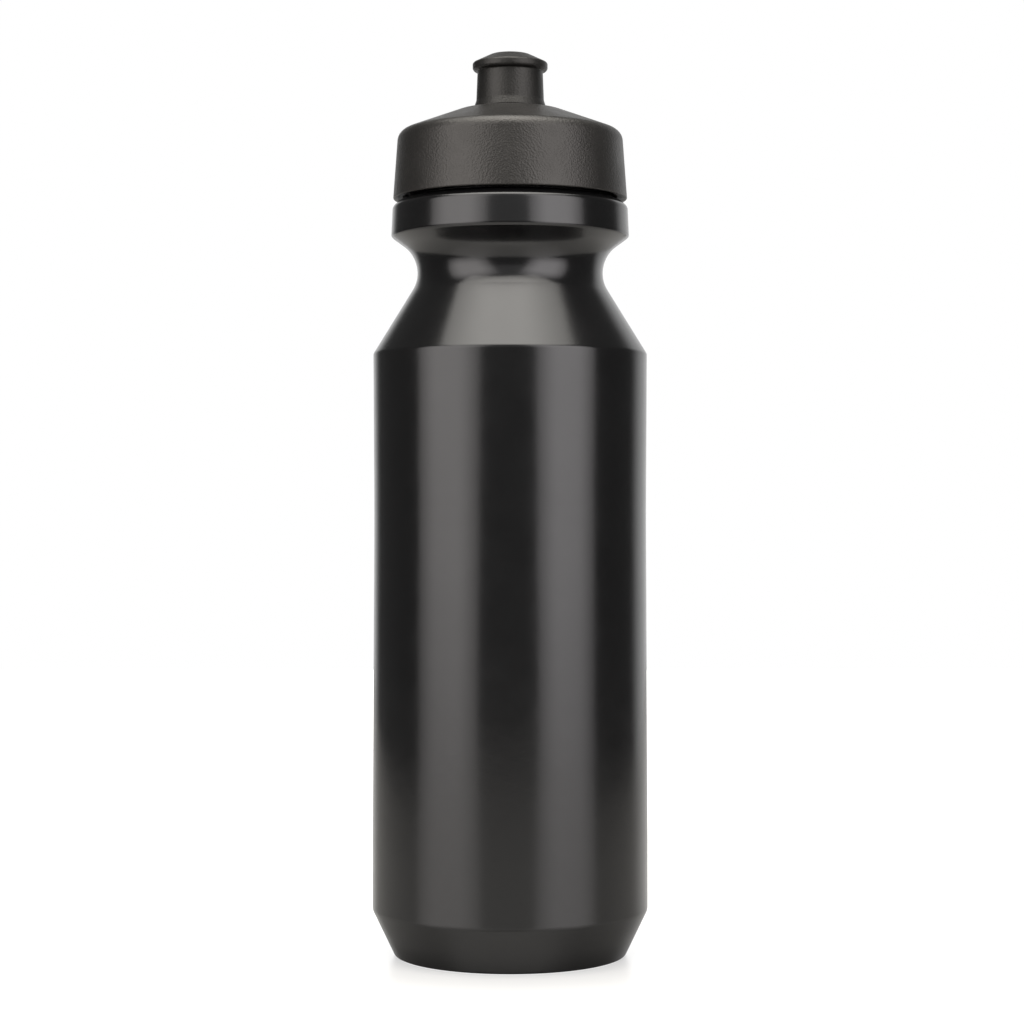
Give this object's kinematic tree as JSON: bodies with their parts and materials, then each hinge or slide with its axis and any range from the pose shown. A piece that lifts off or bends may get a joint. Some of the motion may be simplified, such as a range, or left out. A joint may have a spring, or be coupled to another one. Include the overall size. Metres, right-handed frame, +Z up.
{
  "type": "sports squeeze bottle",
  "caption": "Tall squeeze bottle with a gripping waist under a collar, a screw cap with a low domed top, and a push-pull drinking nozzle.",
  "frame": {"origin": "centre of the foot ring, on the surface the bottle stands on", "axes": "+Z up along the bottle's axis, towards the nozzle; +X and +Y across the round body"},
  "size_m": [0.074, 0.074, 0.2424],
  "materials": {
    "bottle_plastic": "satin, smooth blow-moulded low-density polyethylene",
    "cap_plastic": "fine leather grain, injection-moulded polypropylene",
    "nozzle_plastic": "smooth and matt, soft to bite",
    "core_plastic": "smooth, slightly glossy",
    "gasket_rubber": "matt silicone"
  },
  "bodies": {
    "bottle_body": {"bottle": "bottle_plastic"},
    "seal_ring": {"cap_gasket": "gasket_rubber"},
    "cap": {"cap_shell": "cap_plastic", "valve_core": "core_plastic"},
    "spout": {"nozzle": "nozzle_plastic"}
  },
  "joints": [
    {"name": "cap_rise", "type": "slide", "parent": "bottle_body", "child": "seal_ring", "axis": [0, 0, 1], "range_m": [0, 0.01801]},
    {"name": "cap_turn", "type": "hinge", "parent": "seal_ring", "child": "cap", "pos_m": [0, 0, 0.2115], "axis": [0, 0, 1], "range_deg": [0, 1080]},
    {"name": "nozzle_pull", "type": "slide", "parent": "cap", "child": "spout", "axis": [0, 0, 1], "range_m": [0, 0.006]}
  ],
  "couplings": [
    {"joint": "cap_rise", "follows": "cap_turn", "m_per_rad": 0.00095493}
  ]
}
